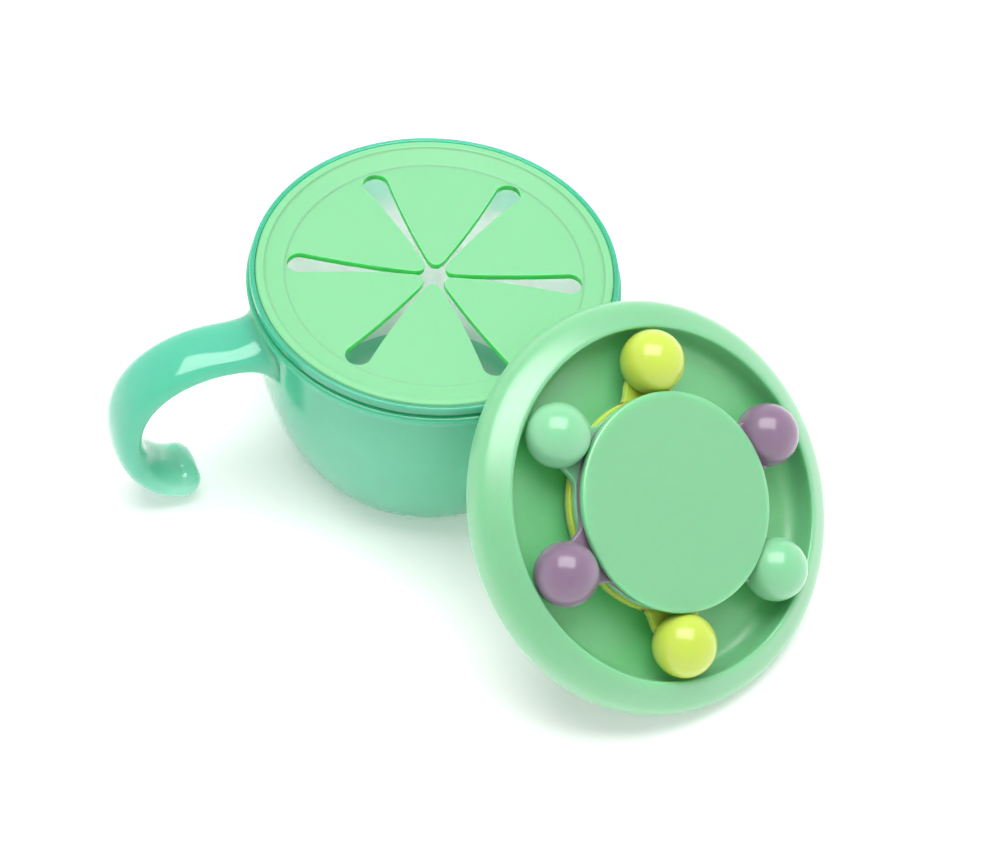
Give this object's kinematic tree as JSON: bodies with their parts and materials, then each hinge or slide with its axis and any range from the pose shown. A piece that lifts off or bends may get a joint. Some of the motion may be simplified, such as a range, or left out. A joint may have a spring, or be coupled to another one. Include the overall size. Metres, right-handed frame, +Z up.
{
  "type": "toddler snack container",
  "caption": "Toddler snack cup with an open hook handle, a soft finger-trap insert, and a snap lid carrying bead spinners under a hub cap.",
  "frame": {"origin": "centre of the cup's flat base, on the surface it stands on", "axes": "+Z up the cup's axis, -X towards the handle, the lid leans on the rim on the -Y side"},
  "size_m": [0.1793, 0.1729, 0.078],
  "materials": {
    "cup_teal": "gloss, slightly see-through polypropylene",
    "insert_green": "soft matte elastomer",
    "lid_mint": "satin moulded polypropylene",
    "bead_yellow": "gloss",
    "bead_mint": "gloss",
    "bead_purple": "gloss"
  },
  "bodies": {
    "cup": {"cup_bowl": "cup_teal", "cup_handle": "cup_teal"},
    "insert": {"finger_trap_ring": "insert_green"},
    "flap_1": {"finger_flap_1": "insert_green"},
    "flap_2": {"finger_flap_2": "insert_green"},
    "flap_3": {"finger_flap_3": "insert_green"},
    "flap_4": {"finger_flap_4": "insert_green"},
    "flap_5": {"finger_flap_5": "insert_green"},
    "flap_6": {"finger_flap_6": "insert_green"},
    "lid": {"lid_shell": "lid_mint", "hub_cap": "lid_mint"},
    "spinner_yellow": {"spinner_ring_yellow": "bead_yellow", "bead_yellow_a": "bead_yellow", "bead_yellow_b": "bead_yellow"},
    "spinner_mint": {"spinner_ring_mint": "bead_mint", "bead_mint_a": "bead_mint", "bead_mint_b": "bead_mint"},
    "spinner_purple": {"spinner_ring_purple": "bead_purple", "bead_purple_a": "bead_purple", "bead_purple_b": "bead_purple"}
  },
  "joints": [
    {"name": "lid_lift", "type": "slide", "parent": "cup", "child": "lid", "axis": [0, 0, 1], "range_m": [0, 0.08]},
    {"name": "yellow_spin", "type": "hinge", "parent": "lid", "child": "spinner_yellow", "pos_m": [0.03549, -0.07898, 0.04204], "axis": [0.2705, -0.602, 0.7513], "continuous": true},
    {"name": "mint_spin", "type": "hinge", "parent": "spinner_yellow", "child": "spinner_mint", "pos_m": [0.03612, -0.08036, 0.04377], "axis": [0.2705, -0.602, 0.7513], "range_deg": [-28, 19]},
    {"name": "purple_spin", "type": "hinge", "parent": "spinner_mint", "child": "spinner_purple", "pos_m": [0.03674, -0.08175, 0.0455], "axis": [0.2705, -0.602, 0.7513], "range_deg": [-28, 19]},
    {"name": "insert_peel", "type": "hinge", "parent": "cup", "child": "insert", "pos_m": [0.01988, -0.04424, 0.064], "axis": [0.9121, 0.4099, 0], "range_deg": [0, 20]},
    {"name": "flap_1_bend", "type": "hinge", "parent": "insert", "child": "flap_1", "pos_m": [0.01332, 0.03019, 0.0615], "axis": [0.915, -0.4035, 0], "range_deg": [-40, 55], "stiffness_Nm_per_rad": 0.01},
    {"name": "flap_2_bend", "type": "hinge", "parent": "insert", "child": "flap_2", "pos_m": [-0.01949, 0.02663, 0.0615], "axis": [0.807, 0.5906, 0], "range_deg": [-40, 55], "stiffness_Nm_per_rad": 0.01},
    {"name": "flap_3_bend", "type": "hinge", "parent": "insert", "child": "flap_3", "pos_m": [-0.03281, -0.00356, 0.0615], "axis": [-0.108, 0.9942, 0], "range_deg": [-40, 55], "stiffness_Nm_per_rad": 0.01},
    {"name": "flap_4_bend", "type": "hinge", "parent": "insert", "child": "flap_4", "pos_m": [-0.01332, -0.03019, 0.0615], "axis": [-0.915, 0.4035, 0], "range_deg": [-40, 55], "stiffness_Nm_per_rad": 0.01},
    {"name": "flap_5_bend", "type": "hinge", "parent": "insert", "child": "flap_5", "pos_m": [0.01949, -0.02663, 0.0615], "axis": [-0.807, -0.5906, 0], "range_deg": [-40, 55], "stiffness_Nm_per_rad": 0.01},
    {"name": "flap_6_bend", "type": "hinge", "parent": "insert", "child": "flap_6", "pos_m": [0.03281, 0.00356, 0.0615], "axis": [0.108, -0.9942, 0], "range_deg": [-40, 55], "stiffness_Nm_per_rad": 0.01}
  ]
}
